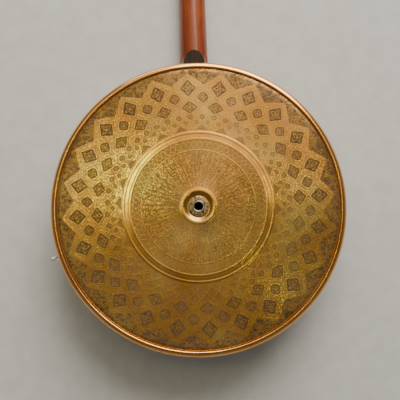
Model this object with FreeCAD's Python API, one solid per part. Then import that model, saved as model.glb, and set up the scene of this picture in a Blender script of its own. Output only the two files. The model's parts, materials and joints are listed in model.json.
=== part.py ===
import FreeCAD
import Part
import math
import os

# A four-string resonator banjo, lying face down. Millimetres.
# The origin is the mouth of the hole in the middle of the resonator's back, level with its bead.
# +Z points out of the back, +Y runs along the neck, and the strings face the floor.

V = FreeCAD.Vector

# Resonator: a spun wall whose back edge rolls over an engraved plate
resonator_diameter = 340.0
bead_roll = 5.6
bead_curl = 1.4
resonator_wall = 1.0
resonator_depth = 50.0
plate_drop = 2.4
plate_thickness = 1.0
ridge_radius = 23.4
ridge_width = 8.0
ridge_height = 1.5
dimple_radius = 13.5
dimple_depth = 3.0

# Centre fixing: a hollow flanged bolt through a washer into a pillar on the dowel stick
fixing_bore = 9.8
bolt_wall = 0.9
bolt_flange_diameter = 13.2
bolt_length = 15.0
washer_diameter = 24.6
washer_thickness = 0.8
bolt_hole_clearance = 0.4
post_width = 17.0
post_floor = 4.0

# Strap pin through the side wall
strap_pin_diameter = 5.0
strap_pin_length = 13.0
strap_collar_width = 7.0
strap_collar_length = 4.5
strap_nut_width = 9.0
strap_nut_thickness = 3.5
strap_pin_depth = 25.0
strap_pin_angle = 197.5

# Pot: wood rim, tone ring, head and hoops
rim_inset = 30.3
rim_thickness = 13.7
rim_gap = 16.0
rim_height = 54.0
tone_ring_height = 6.0
tone_ring_width = 7.5
head_thickness = 0.35
head_skirt = 11.2
hoop_thickness = 4.8
hoop_height = 12.0
hoop_proud = 3.5
hoop_clearance = 0.5
flesh_hoop_thickness = 3.3
flesh_hoop_height = 3.2

# Flange between the pot and the resonator, with its hooks and nuts
flange_thickness = 2.5
flange_slot_width = 10.0
flange_slot_margin = 4.0
flange_slot_angle = 12.5
hook_count = 16
hook_neck_angle = 24.0
hook_wire = 3.2
hook_gap = 1.5
hook_claw_width = 5.0
hook_claw_thickness = 2.2
hook_hole_clearance = 0.2
hook_nut_width = 6.4
hook_nut_length = 12.0

# Dowel stick and what fastens it
dowel_width = 22.0
dowel_height = 20.0
dowel_gap = 26.0
dowel_tail_width = 18.0
dowel_tenon = 9.0
dowel_reach = 20.0
brace_wall = 5.0
brace_thickness = 10.0
screw_diameter = 4.0
screw_head_width = 8.0
screw_head_height = 2.6
screw_head_seat = 0.2
dowel_screw_bite = 14.0
brace_screw_bite = 6.0

# Neck, fingerboard and peghead
scale_length = 578.0
bridge_offset = 38.0
neck_tilt_angle = 0.5
fingerboard_gap = 3.6
fingerboard_rise = 6.3
fingerboard_thickness = 6.0
nut_end_width = 28.5
pot_end_width = 36.0
neck_side_height = 1.6
neck_clearance = 0.8
handle_length = 16.0
heel_cap_depth = 12.0
heel_cap_thickness = 2.5
heel_cap_width = 25.5
heel_cap_reach = 16.5
heel_cap_gap = 1.6
heel_arch = 18.0
heel_arch_growth = 14.0
heel_run = 50.0
heel_notch_clearance = 0.8
nut_thickness = 5.0
nut_rise = 2.2
fret_count = 19
fret_width = 2.0
fret_height = 1.0
fret_inset = 0.6
dot_length = 9.0
dot_width = 6.0
dot_depth = 1.0
dot_spacing = 12.0
peghead_angle = 10.0
peghead_length = 150.0
peghead_width = 62.0
peghead_thickness = 14.0
peghead_waist = 47.0
peghead_flare = 26.0
peghead_corner = 12.0
peghead_brow = 12.0
overlay_thickness = 1.6

# Geared pegs, button and post on one axis
near_peg_distance = 30.0
far_peg_margin = 62.0
near_peg_offset = 15.5
far_peg_offset = 19.5
peg_hole_width = 9.5
peg_post_diameter = 6.4
post_height = 20.0
post_root = 11.0
running_clearance = 0.05
turning_clearance = 0.15
peg_gap = 0.4
bushing_width = 11.0
bushing_thickness = 2.0
housing_width = 15.2
housing_height = 12.0
button_width = 23.0
button_thickness = 12.0
button_height = 13.0
button_bevel = 2.4
button_shaft_width = 5.0
button_shaft_length = 13.0

# Bridge, tailpiece and strings
bridge_height = 12.7
bridge_width = 62.0
bridge_foot_thickness = 8.0
bridge_top_thickness = 2.6
bridge_top_width = 46.0
bridge_cap_height = 1.8
bridge_arch_height = 6.2
bridge_foot_width = 9.0
tailpiece_width = 32.0
tailpiece_tip_width = 38.0
tailpiece_thickness = 1.6
tailpiece_reach = 32.0
tailpiece_drop = 23.0
tailpiece_bolt_diameter = 5.0
tailpiece_bolt_depth = 58.5
tailpiece_nut_width = 9.0
tailpiece_nut_thickness = 4.0
tailpiece_head_height = 3.0
tailpiece_barrel_diameter = 3.4
tailpiece_peg_width = 2.2
tailpiece_peg_height = 2.4
tailpiece_peg_distance = 7.0
string_diameters = [0.76, 0.58, 0.41, 0.25]
string_spread_at_bridge = 33.0
string_spread_at_nut = 24.0
string_spread_at_tailpiece = 26.0
string_wind_height = 9.0
string_height_over_nut = 1.3
bridge_notch_depth = 0.6
notch_clearance = 0.02

# How far a cutter runs past what it cuts
overrun = 1.0

# Flat sides of the rings that are out of sight
hidden_sides = 36

# Shares of the heel's depth, with the shares of its flare in width and of its reach along the neck
heel_shares = [
    (0.00, 0.00, 0.00),
    (0.20, 0.10, 0.01),
    (0.42, 0.30, 0.05),
    (0.58, 0.55, 0.13),
    (0.69, 0.76, 0.29),
    (0.76, 0.90, 0.56),
    (1.00, 1.00, 1.00),
]

# Radii and heights worked out from the sizes above
resonator_radius = resonator_diameter / 2
groove_radius = resonator_radius - bead_roll - bead_curl
plate_radius = resonator_radius - resonator_wall
plate_edge_z = -plate_drop
dimple_z = -dimple_depth
bolt_radius = fixing_bore / 2 + bolt_wall
post_top_z = dimple_z - plate_thickness
dowel_back_z = -dowel_gap
dowel_middle_z = dowel_back_z - dowel_height / 2
rim_radius = resonator_radius - rim_inset
rim_inner_radius = rim_radius - rim_thickness
rim_back_z = -rim_gap
rim_front_z = rim_back_z - rim_height
head_z = rim_front_z - tone_ring_height
head_front_z = head_z - head_thickness
skirt_radius = rim_radius + head_thickness
skirt_z = head_z + head_skirt
hoop_front_z = head_z - hoop_proud
hoop_back_z = hoop_front_z + hoop_height
hoop_inner_radius = skirt_radius + hoop_clearance
hoop_radius = hoop_inner_radius + hoop_thickness
flange_back_z = -resonator_depth
flange_front_z = flange_back_z - flange_thickness
hook_radius = hoop_radius + hook_gap + hook_wire / 2
nut_y = scale_length - bridge_offset
fingerboard_y = hoop_radius + fingerboard_gap
fingerboard_length = nut_y - fingerboard_y
fingerboard_z = head_z - fingerboard_rise
heel_cap_z = -heel_cap_depth
heel_top_z = heel_cap_z - heel_cap_thickness
heel_cap_y = resonator_radius + heel_cap_gap
heel_tip_y = heel_cap_y + heel_cap_reach
crown_z = head_front_z - bridge_height
peg_places = [
    (-near_peg_offset, near_peg_distance),
    (-far_peg_offset, peghead_length - far_peg_margin),
    (far_peg_offset, peghead_length - far_peg_margin),
    (near_peg_offset, near_peg_distance),
]

neck_frame = FreeCAD.Placement(
    V(0, fingerboard_y, fingerboard_z), FreeCAD.Rotation(V(1, 0, 0), neck_tilt_angle)
)
peghead_frame = neck_frame.multiply(
    FreeCAD.Placement(
        V(0, fingerboard_length + nut_thickness, fingerboard_thickness),
        FreeCAD.Rotation(V(1, 0, 0), peghead_angle),
    )
)


# Drawing helpers


def placed(shape, frame):
    moved = shape.copy()
    moved.Placement = frame.multiply(moved.Placement)
    return moved


def turned_about_z(shape, angle):
    return placed(shape, FreeCAD.Placement(V(0, 0, 0), FreeCAD.Rotation(V(0, 0, 1), angle)))


def line(start, end):
    """A straight edge between two places, each a distance across and a height."""
    return Part.makeLine(V(start[0], 0, start[1]), V(end[0], 0, end[1]))


def spun(points):
    """A ring or disc turned about Z from a closed outline of radius and height."""
    closed = points + [points[0]]
    wire = Part.Wire([line(start, end) for start, end in zip(closed, closed[1:])])
    return Part.Face(wire).revolve(V(0, 0, 0), V(0, 0, 1), 360)


def tube(outer_radius, inner_radius, low_z, high_z):
    return spun([(inner_radius, low_z), (outer_radius, low_z), (outer_radius, high_z), (inner_radius, high_z)])


def rod(radius, low_z, high_z):
    return Part.makeCylinder(radius, high_z - low_z, V(0, 0, low_z))


def rod_between(start, end, radius):
    run = end - start
    return Part.makeCylinder(radius, run.Length, start, run)


def block(low, high):
    return Part.makeBox(high[0] - low[0], high[1] - low[1], high[2] - low[2], V(*low))


def polygon(points):
    return Part.Face(Part.makePolygon([V(*point) for point in points + [points[0]]]))


def joined(shapes):
    return shapes[0].fuse(shapes[1:]).removeSplitter()


def many_sided_face(sides, width, middle, normal):
    """A face with that many sides, that wide across them, square to a direction."""
    corner = width / 2 / math.cos(math.pi / sides)
    across = V(1, 0, 0) if abs(normal.x) < normal.Length / 2 else V(0, 1, 0)
    first = normal.cross(across).normalize()
    second = normal.cross(first).normalize()
    points = []
    for number in range(sides):
        turn = 2 * math.pi * (number + 0.5) / sides
        points.append(middle + first * (corner * math.cos(turn)) + second * (corner * math.sin(turn)))
    return Part.Face(Part.makePolygon(points + [points[0]]))


def many_sided(sides, width, start, end):
    """A bar of that many flat sides, for what repeats many times."""
    return many_sided_face(sides, width, start, end - start).extrude(end - start)


# Resonator


def heel_width_at(depth_share):
    """The heel's width at a share of its depth."""
    for (low, low_flare, _), (high, high_flare, _) in zip(heel_shares, heel_shares[1:]):
        if depth_share <= high:
            flare = low_flare + (high_flare - low_flare) * (depth_share - low) / (high - low)
            return heel_cap_width + (pot_end_width - heel_cap_width) * flare
    return pot_end_width


def heel_notch():
    """The space that the heel needs through the resonator's wall and the flange."""
    foot_share = (heel_top_z - flange_front_z) / (heel_top_z - fingerboard_z)
    top = heel_cap_width / 2 + heel_notch_clearance
    foot = heel_width_at(foot_share) / 2 + heel_notch_clearance
    high_z = heel_cap_z + heel_notch_clearance
    low_z = flange_front_z - overrun
    outline = polygon([(-foot, 0, low_z), (foot, 0, low_z), (top, 0, high_z), (-top, 0, high_z)])
    return outline.extrude(V(0, resonator_diameter, 0))


def inside_wall(inset):
    """The round space that far inside the side wall's outer face."""
    return rod(resonator_radius - inset, flange_back_z, -bead_roll)


def resonator_side():
    slope = math.radians(45)
    crest = resonator_radius - bead_roll
    wall = spun(
        [
            (resonator_radius, flange_back_z),
            (resonator_radius, -bead_roll),
            (crest + bead_roll * math.cos(slope), -bead_roll + bead_roll * math.sin(slope)),
            (crest, 0),
            (groove_radius, plate_edge_z),
            (plate_radius, plate_edge_z),
            (plate_radius, flange_back_z),
        ]
    )
    hole = many_sided(12, strap_pin_diameter, strap_point(-strap_pin_length), strap_point(strap_pin_length))
    return wall.cut([heel_notch(), hole])


def resonator_back():
    """The plate, with a ridge round its middle and a dimple inside the ridge."""
    hole_radius = bolt_radius + bolt_hole_clearance
    top = [
        (hole_radius, dimple_z),
        (dimple_radius, dimple_z),
        (ridge_radius, plate_edge_z + ridge_height),
        (ridge_radius + ridge_width / 2, plate_edge_z),
        (plate_radius, plate_edge_z),
    ]
    return spun(top + [(radius, z - plate_thickness) for radius, z in reversed(top)])


def washer_hole(low_z, high_z):
    return many_sided(12, 2 * bolt_radius + 2 * bolt_hole_clearance, V(0, 0, low_z), V(0, 0, high_z))


def resonator_washer():
    top_z = dimple_z + washer_thickness
    disc = many_sided(36, washer_diameter, V(0, 0, dimple_z), V(0, 0, top_z))
    return disc.cut(washer_hole(dimple_z, top_z))


def bolt_thread(low_z):
    """The bolt's threaded length, from the plate's dimple down to a height."""
    return many_sided(12, 2 * bolt_radius, V(0, 0, low_z), V(0, 0, dimple_z + washer_thickness))


def resonator_bolt():
    """A hollow bolt, whose round flange comes up level with the bead."""
    seat_z = dimple_z + washer_thickness
    low_z = seat_z - bolt_length
    flange_disc = rod(bolt_flange_diameter / 2, seat_z, 0)
    return joined([bolt_thread(low_z), flange_disc]).cut(rod(fixing_bore / 2, low_z, 0))


def resonator_post():
    """A six-sided pillar with a blind hole for the bolt."""
    pillar = many_sided(6, post_width, V(0, 0, dowel_back_z), V(0, 0, post_top_z))
    return pillar.cut(bolt_thread(dowel_back_z + post_floor))


def strap_point(distance):
    """A point on the strap pin's axis, that far outside the wall."""
    turn = math.radians(strap_pin_angle)
    reach = resonator_radius + distance
    return V(reach * math.cos(turn), reach * math.sin(turn), -strap_pin_depth)


def strap_pin():
    inside = strap_point(-resonator_wall - strap_nut_thickness)
    shank = rod_between(inside, strap_point(strap_pin_length), strap_pin_diameter / 2)
    collar = many_sided(12, strap_collar_width, inside, strap_point(strap_collar_length))
    return joined([shank, collar.cut(inside_wall(0))])


def strap_pin_nut():
    inside = strap_point(-resonator_wall - strap_nut_thickness)
    outside = strap_point(0)
    nut_body = many_sided(6, strap_nut_width, inside, outside)
    hole = many_sided(12, strap_pin_diameter, inside, outside)
    return nut_body.common(inside_wall(resonator_wall)).cut(hole)


# Pot


def dowel_room():
    """The dowel stick's full section, from the middle of the pot to the end of its tenon."""
    low = (-dowel_width / 2, 0, dowel_back_z - dowel_height)
    high = (dowel_width / 2, rim_radius + dowel_tenon, dowel_back_z)
    return block(low, high)


def wood_rim():
    ring = tube(rim_radius, rim_inner_radius, rim_front_z, rim_back_z)
    return ring.cut([dowel_room(), tailpiece_bolt_shank(), dowel_screw_shank()])


def flat_sided_ring(outer_radius, inner_radius, low_z, high_z):
    """A ring of flat sides, for what is out of sight: its corners reach the outer radius."""
    low = V(0, 0, low_z)
    high = V(0, 0, high_z)
    outer_width = 2 * outer_radius * math.cos(math.pi / hidden_sides)
    outer = many_sided(hidden_sides, outer_width, low, high)
    return outer.cut(many_sided(hidden_sides, 2 * inner_radius, low, high))


def tone_ring():
    return flat_sided_ring(rim_radius, rim_radius - tone_ring_width, head_z, rim_front_z)


def head():
    """The stretched head, with its skirt turned back over the tone ring."""
    return spun(
        [
            (0, head_front_z),
            (skirt_radius, head_front_z),
            (skirt_radius, skirt_z),
            (rim_radius, skirt_z),
            (rim_radius, head_z),
            (0, head_z),
        ]
    )


def flesh_hoop():
    outer_radius = skirt_radius + flesh_hoop_thickness
    return flat_sided_ring(outer_radius, skirt_radius, hoop_back_z, hoop_back_z + flesh_hoop_height)


def tension_hoop():
    return tube(hoop_radius, hoop_inner_radius, hoop_front_z, hoop_back_z)


def hook_angles():
    """Hooks spread evenly from one side of the neck round to the other."""
    step = (360 - hook_neck_angle) / (hook_count - 1)
    return [90 + hook_neck_angle / 2 + step * number for number in range(hook_count)]


def hook_bar(width, low_z, high_z):
    return many_sided(6, width, V(hook_radius, 0, low_z), V(hook_radius, 0, high_z))


def bracket_hooks():
    """Hooks whose claws lie on the tension hoop and whose shanks run back through the flange."""
    half = hook_claw_width / 2
    low_z = hoop_front_z - hook_claw_thickness
    outer = hook_radius + hook_wire / 2
    corner = hook_claw_thickness / 2
    claw_outline = [
        (hoop_inner_radius, hoop_front_z),
        (outer, hoop_front_z),
        (outer, low_z + corner),
        (outer - corner, low_z),
        (hoop_inner_radius, low_z),
    ]
    claw = polygon([(x, -half, z) for x, z in claw_outline]).extrude(V(0, hook_claw_width, 0))
    hook = joined([hook_bar(hook_wire, hoop_front_z, flange_back_z), claw])
    return Part.makeCompound([turned_about_z(hook, angle) for angle in hook_angles()])


def hook_nuts():
    """Closed nuts, one on the end of each hook."""
    start = V(hook_radius, 0, flange_back_z)
    nut_body = many_sided(6, hook_nut_width, start, start + V(0, 0, hook_nut_length))
    return Part.makeCompound([turned_about_z(nut_body, angle) for angle in hook_angles()])


def flange_slot():
    """One sound hole of the flange."""
    half = math.tan(math.radians(flange_slot_angle / 2))
    outer = resonator_radius - resonator_wall - flange_slot_margin
    inner = outer - flange_slot_width
    low_z = flange_front_z - overrun
    corners = [(inner, -inner), (outer, -outer), (outer, outer), (inner, inner)]
    outline = polygon([(x, share * half, low_z) for x, share in corners])
    return outline.extrude(V(0, 0, flange_thickness + 2 * overrun))


def flange():
    ring = tube(resonator_radius, rim_radius, flange_front_z, flange_back_z)
    hole = hook_bar(hook_wire + 2 * hook_hole_clearance, flange_front_z - overrun, flange_back_z + overrun)
    slot = flange_slot()
    angles = hook_angles()
    cutters = [turned_about_z(hole, angle) for angle in angles]
    cutters += [turned_about_z(slot, (low + high) / 2) for low, high in zip(angles, angles[1:])]
    return ring.cut(cutters + [heel_notch()])


# Dowel stick, brace and their screws


def dowel_stick():
    half = dowel_width / 2
    tail = dowel_tail_width / 2
    low_z = dowel_back_z - dowel_height
    neck_y = rim_radius + dowel_tenon
    outline = polygon(
        [
            (-half, neck_y, low_z),
            (half, neck_y, low_z),
            (half, 0, low_z),
            (tail, -rim_radius, low_z),
            (-tail, -rim_radius, low_z),
            (-half, 0, low_z),
        ]
    )
    stick = outline.extrude(V(0, 0, dowel_height))
    inside_rim = rod(rim_inner_radius, low_z, dowel_back_z)
    return stick.common(joined([inside_rim, dowel_room()])).cut([dowel_screw_shank(), brace_screw_shank()])


def neck_brace():
    """A metal frame round the dowel stick, bearing on the inside of the rim."""
    half_width = dowel_width / 2 + brace_wall
    half_height = dowel_height / 2 + brace_wall
    low = (-half_width, rim_inner_radius - brace_thickness, dowel_middle_z - half_height)
    high = (half_width, rim_inner_radius, dowel_middle_z + half_height)
    frame = block(low, high).common(rod(rim_inner_radius, low[2], high[2]))
    return frame.cut([dowel_room(), brace_screw_shank()])


def brace_screw_place(z):
    return V(0, rim_inner_radius - brace_thickness / 2, z)


def brace_screw_shank():
    low = brace_screw_place(dowel_back_z - brace_screw_bite)
    high = brace_screw_place(dowel_back_z + brace_wall)
    return many_sided(8, screw_diameter, low, high)


def brace_screw():
    seat_z = dowel_back_z + brace_wall
    cap_end = brace_screw_place(seat_z + screw_head_height)
    cap = many_sided(6, screw_head_width, brace_screw_place(seat_z), cap_end)
    return joined([brace_screw_shank(), cap])


def dowel_screw_shank():
    start = V(0, -rim_radius, dowel_middle_z)
    end = V(0, -rim_inner_radius + dowel_screw_bite, dowel_middle_z)
    return many_sided(8, screw_diameter, start, end)


def dowel_screw():
    """The screw from outside the rim into the tail end of the dowel stick."""
    seat = V(0, -rim_radius + screw_head_seat, dowel_middle_z)
    cap = many_sided(6, screw_head_width, seat - V(0, screw_head_height, 0), seat)
    return joined([dowel_screw_shank(), cap.cut(rod(rim_radius, rim_front_z, rim_back_z))])


# Neck


def board_half_width(y):
    """Half the neck's width, y along the fingerboard from its pot end."""
    return (pot_end_width + (nut_end_width - pot_end_width) * y / fingerboard_length) / 2


def neck_shaft():
    """The shaft behind the fingerboard: half a cone, and half a cylinder past the nut."""
    base = fingerboard_thickness
    shoulder = base + neck_side_height
    start = neck_clearance - fingerboard_gap
    end = fingerboard_length + nut_thickness + handle_length
    pot = board_half_width(start)
    nut_half = nut_end_width / 2
    upright = V(0, 0, 1)
    taper = Part.makeCone(pot, nut_half, fingerboard_length - start, V(0, 0, start), upright, 180)
    handle = Part.makeCylinder(nut_half, end - fingerboard_length, V(0, 0, fingerboard_length), upright, 180)
    along = FreeCAD.Placement(V(0, 0, shoulder), FreeCAD.Rotation(V(-1, 0, 0), V(0, 0, 1), V(0, 1, 0)))
    sides = polygon(
        [
            (-pot, start, base),
            (pot, start, base),
            (nut_half, fingerboard_length, base),
            (nut_half, end, base),
            (-nut_half, end, base),
            (-nut_half, fingerboard_length, base),
        ]
    ).extrude(V(0, 0, neck_side_height))
    return joined([placed(taper, along), placed(handle, along), sides])


def heel_section(z, half_width, tip_y, arch):
    """A level section of the heel: straight sides that close in a long oval."""
    side_y = tip_y - arch
    oval = Part.Ellipse(V(0, tip_y, z), V(-half_width, side_y, z), V(0, side_y, z))
    return Part.Wire(
        [
            Part.makeLine(V(-half_width, 0, z), V(half_width, 0, z)),
            Part.makeLine(V(half_width, 0, z), V(half_width, side_y, z)),
            Part.Arc(oval, -math.pi / 2, math.pi / 2).toShape(),
            Part.makeLine(V(-half_width, side_y, z), V(-half_width, 0, z)),
        ]
    )


def heel_level(share, flare, run):
    z = heel_top_z + (fingerboard_z - heel_top_z) * share
    half_width = (heel_cap_width + (pot_end_width - heel_cap_width) * flare) / 2
    return heel_section(z, half_width, heel_tip_y + heel_run * run, heel_arch + heel_arch_growth * run)


def heel():
    """The heel, lofted level by level, cut to fit the rim, the dowel stick and the hoop."""
    body = Part.makeLoft([heel_level(*shares) for shares in heel_shares], True, True)
    low_z = fingerboard_z - overrun
    hoop_room_z = hoop_back_z + flesh_hoop_height + neck_clearance
    behind_board = block(
        (-pot_end_width, -resonator_radius, -pot_end_width),
        (pot_end_width, resonator_radius, fingerboard_thickness),
    )
    return body.cut(
        [
            rod(rim_radius, low_z, 0),
            rod(hoop_radius + neck_clearance, low_z, hoop_room_z),
            dowel_room(),
            placed(behind_board, neck_frame),
        ]
    )


def peghead_outline(z):
    """The peghead's flat outline, from the nut to its crest."""
    nut_half = nut_end_width / 2
    wide = peghead_width / 2
    waist = peghead_waist / 2
    shoulder_y = peghead_length - peghead_brow
    corner = V(wide - peghead_corner, shoulder_y, z)
    rim_side = V(wide, shoulder_y - peghead_corner, z)
    corner_middle = V(wide - peghead_corner / 4, shoulder_y - peghead_corner / 4, z)
    crest = V(0, peghead_length, z)
    brow_middle = V(corner.x / 2, shoulder_y + peghead_brow / 4, z)
    neck_bend = V(nut_half + (waist - nut_half) * 0.4, peghead_flare / 2, z)
    right = [
        Part.Arc(V(nut_half, 0, z), neck_bend, V(waist, peghead_flare, z)).toShape(),
        Part.makeLine(V(waist, peghead_flare, z), rim_side),
        Part.Arc(rim_side, corner_middle, corner).toShape(),
        Part.Arc(corner, brow_middle, crest).toShape(),
    ]
    left = [edge.mirror(V(0, 0, 0), V(1, 0, 0)) for edge in right]
    base = Part.makeLine(V(-nut_half, 0, z), V(nut_half, 0, z))
    return Part.Face(Part.Wire(Part.__sortEdges__(right + left + [base])))


def peg_holes(low_z, high_z):
    return [many_sided(8, peg_hole_width, V(x, y, low_z), V(x, y, high_z)) for x, y in peg_places]


def neck():
    slab = peghead_outline(0).extrude(V(0, 0, peghead_thickness))
    in_front = block((-peghead_width, 0, -peghead_length), (peghead_width, 2 * peghead_length, 0))
    holes = peg_holes(-overrun, peghead_thickness + overrun)
    wood = joined([placed(neck_shaft(), neck_frame), heel(), placed(slab, peghead_frame)])
    return wood.cut([placed(cutter, peghead_frame) for cutter in [in_front] + holes])


def heel_cap():
    plate = Part.Face(heel_section(heel_top_z, heel_cap_width / 2, heel_tip_y, heel_arch))
    cap = plate.extrude(V(0, 0, heel_cap_thickness))
    return cap.cut(block((-heel_cap_width, 0, heel_top_z), (heel_cap_width, heel_cap_y, heel_cap_z)))


def fingerboard():
    start = board_half_width(0)
    end = board_half_width(fingerboard_length)
    board = polygon(
        [(-start, 0, 0), (start, 0, 0), (end, fingerboard_length, 0), (-end, fingerboard_length, 0)]
    ).extrude(V(0, 0, fingerboard_thickness))
    return placed(board.cut(dots_flat()), neck_frame)


def fret_y(number):
    """The place of a fret, from the pot end of the fingerboard."""
    return fingerboard_length - scale_length * (1 - 2 ** (-number / 12))


def frets():
    wires = []
    for number in range(1, fret_count + 1):
        middle = fret_y(number)
        half = board_half_width(middle) - fret_inset
        crown = [
            (-half, middle - fret_width / 2, 0),
            (-half, middle - fret_width / 4, -fret_height),
            (-half, middle + fret_width / 4, -fret_height),
            (-half, middle + fret_width / 2, 0),
        ]
        wires.append(polygon(crown).extrude(V(2 * half, 0, 0)))
    return placed(Part.makeCompound(wires), neck_frame)


def dots_flat():
    """Diamond inlays, one between each marked pair of frets and two at the octave."""
    dots = []
    for number in (5, 7, 10, 12, 15, 17):
        middle = (fret_y(number) + fret_y(number - 1)) / 2
        offsets = (-dot_spacing / 2, dot_spacing / 2) if number == 12 else (0,)
        for x in offsets:
            diamond = [
                (x - dot_width / 2, middle, 0),
                (x, middle - dot_length / 2, 0),
                (x + dot_width / 2, middle, 0),
                (x, middle + dot_length / 2, 0),
            ]
            dots.append(polygon(diamond).extrude(V(0, 0, dot_depth)))
    return dots


def position_dots():
    return placed(Part.makeCompound(dots_flat()), neck_frame)


def nut():
    half = nut_end_width / 2
    low = (-half, fingerboard_length, -nut_rise)
    high = (half, fingerboard_length + nut_thickness, fingerboard_thickness)
    return placed(block(low, high), neck_frame).cut(string_slots())


def peghead_overlay():
    sheet = peghead_outline(-overlay_thickness).extrude(V(0, 0, overlay_thickness))
    sheet = sheet.cut(peg_holes(-overlay_thickness - overrun, overrun))
    nut_room = block(
        (-nut_end_width, 0, -fingerboard_thickness),
        (nut_end_width, fingerboard_length + nut_thickness, fingerboard_thickness),
    )
    return placed(sheet, peghead_frame).cut(placed(nut_room, neck_frame))


# Geared pegs, drawn along their own axis: z = 0 is the front of the peghead's wood, +z its back


def on_peg(shape, number):
    x, y = peg_places[number]
    return placed(shape, peghead_frame.multiply(FreeCAD.Placement(V(x, y, 0), FreeCAD.Rotation())))


def tuner_bushing(number):
    face = V(0, 0, -overlay_thickness)
    front = face - V(0, 0, bushing_thickness)
    body = many_sided(6, bushing_width, front, face)
    return on_peg(body.cut(many_sided(12, peg_post_diameter + 2 * running_clearance, front, face)), number)


def tuner_post(number):
    return on_peg(rod(peg_post_diameter / 2, -overlay_thickness - post_height, post_root), number)


def tuner_housing(number):
    """The closed gear housing on the peghead's back, open only for the button's shaft."""
    foot = V(0, 0, peghead_thickness)
    top = V(0, 0, peghead_thickness + housing_height)
    body = many_sided(12, housing_width, foot, top)
    return on_peg(body.cut(many_sided(12, button_shaft_width + 2 * turning_clearance, foot, top)), number)


def bevelled(half_width, low, high, bevel):
    """An upright outline with its four corners taken off."""
    return [
        (-half_width + bevel, low),
        (half_width - bevel, low),
        (half_width, low + bevel),
        (half_width, high - bevel),
        (half_width - bevel, high),
        (-half_width + bevel, high),
        (-half_width, high - bevel),
        (-half_width, low + bevel),
    ]


def tuner_button(number):
    """A bevelled grip on the round shaft that turns in the housing."""
    seat_z = peghead_thickness + housing_height + peg_gap
    top_z = seat_z + button_height
    half = button_width / 2
    flank = button_thickness / 2
    plan = [(x, y, seat_z) for x, y in bevelled(half, -flank, flank, flank / 2)]
    front = [(x, -flank, z) for x, z in bevelled(half, seat_z, top_z, button_bevel)]
    side = [(-half, y, z) for y, z in bevelled(flank, seat_z, top_z, button_bevel)]
    grip = polygon(plan).extrude(V(0, 0, button_height))
    grip = grip.common(polygon(front).extrude(V(0, button_thickness, 0)))
    grip = grip.common(polygon(side).extrude(V(button_width, 0, 0)))
    shaft = many_sided(12, button_shaft_width, V(0, 0, seat_z - button_shaft_length), V(0, 0, seat_z))
    return on_peg(joined([shaft, grip]), number)


# Bridge, tailpiece and strings


def bridge():
    """The three-footed bridge, cut from one strip and thinned towards its top."""
    top_z = crown_z + bridge_cap_height
    half = bridge_width / 2
    top_half = bridge_top_width / 2
    arch_z = head_front_z - bridge_arch_height
    inner_foot = bridge_foot_width / 2
    outer_foot = half - bridge_foot_width
    arch_x = (inner_foot + outer_foot) / 2
    arches = []
    for side in (-1, 1):
        start = V(side * outer_foot, 0, head_front_z)
        middle = V(side * arch_x, 0, arch_z)
        end = V(side * inner_foot, 0, head_front_z)
        arches.append(Part.Arc(start, middle, end).toShape())
    edges = arches + [
        line((-half, head_front_z), (-outer_foot, head_front_z)),
        line((-inner_foot, head_front_z), (inner_foot, head_front_z)),
        line((outer_foot, head_front_z), (half, head_front_z)),
        line((half, head_front_z), (top_half, top_z)),
        line((top_half, top_z), (-top_half, top_z)),
        line((-top_half, top_z), (-half, head_front_z)),
    ]
    strip = Part.Face(Part.Wire(Part.__sortEdges__(edges))).extrude(V(0, bridge_foot_thickness, 0))
    strip = strip.translated(V(0, -bridge_foot_thickness / 2, 0))
    foot = bridge_foot_thickness / 2
    thin = bridge_top_thickness / 2
    taper = polygon(
        [(-half, -foot, head_front_z), (-half, foot, head_front_z), (-half, thin, top_z), (-half, -thin, top_z)]
    ).extrude(V(bridge_width, 0, 0))
    return strip.common(taper).translated(V(0, -bridge_offset, 0))


def bridge_cap():
    half = bridge_top_width / 2
    thin = bridge_top_thickness / 2
    cap = block((-half, -thin, crown_z), (half, thin, crown_z + bridge_cap_height))
    return cap.translated(V(0, -bridge_offset, 0)).cut(string_slots())


def tailpiece_rear_y():
    return -hoop_radius - hook_gap


def tailpiece_front_y():
    return -hoop_radius + tailpiece_reach


def on_tailpiece_bolt(y):
    return V(0, y, -tailpiece_bolt_depth)


def tailpiece_bolt_shank():
    start = on_tailpiece_bolt(tailpiece_rear_y() - tailpiece_thickness)
    end = on_tailpiece_bolt(-rim_inner_radius + tailpiece_nut_thickness + screw_head_height)
    return many_sided(8, tailpiece_bolt_diameter, start, end)


def tailpiece():
    """A bent plate over the hoop, with a rolled front edge and a peg for each string."""
    front_y = tailpiece_front_y()
    rear_y = tailpiece_rear_y()
    low_z = hoop_front_z - tailpiece_thickness
    tip = tailpiece_tip_width / 2
    half = tailpiece_width / 2
    plate = polygon(
        [(-tip, front_y, low_z), (tip, front_y, low_z), (half, rear_y, low_z), (-half, rear_y, low_z)]
    ).extrude(V(0, 0, tailpiece_thickness))
    back = block((-half, rear_y - tailpiece_thickness, low_z), (half, rear_y, hoop_front_z + tailpiece_drop))
    barrel_z = low_z + tailpiece_thickness / 2
    barrel = many_sided(8, tailpiece_barrel_diameter, V(-tip, front_y, barrel_z), V(tip, front_y, barrel_z))
    pegs = []
    for x in string_places(string_spread_at_tailpiece):
        foot = V(x, front_y - tailpiece_peg_distance, low_z)
        pegs.append(many_sided(6, tailpiece_peg_width, foot, foot - V(0, 0, tailpiece_peg_height)))
    return joined([plate, back, barrel] + pegs).cut(tailpiece_bolt_shank())


def tailpiece_spacer():
    """The sleeve that keeps the tailpiece off the rim."""
    body = many_sided(8, tailpiece_nut_width, on_tailpiece_bolt(tailpiece_rear_y()), on_tailpiece_bolt(0))
    return body.cut([tailpiece_bolt_shank(), rod(rim_radius, rim_front_z, rim_back_z)])


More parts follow.
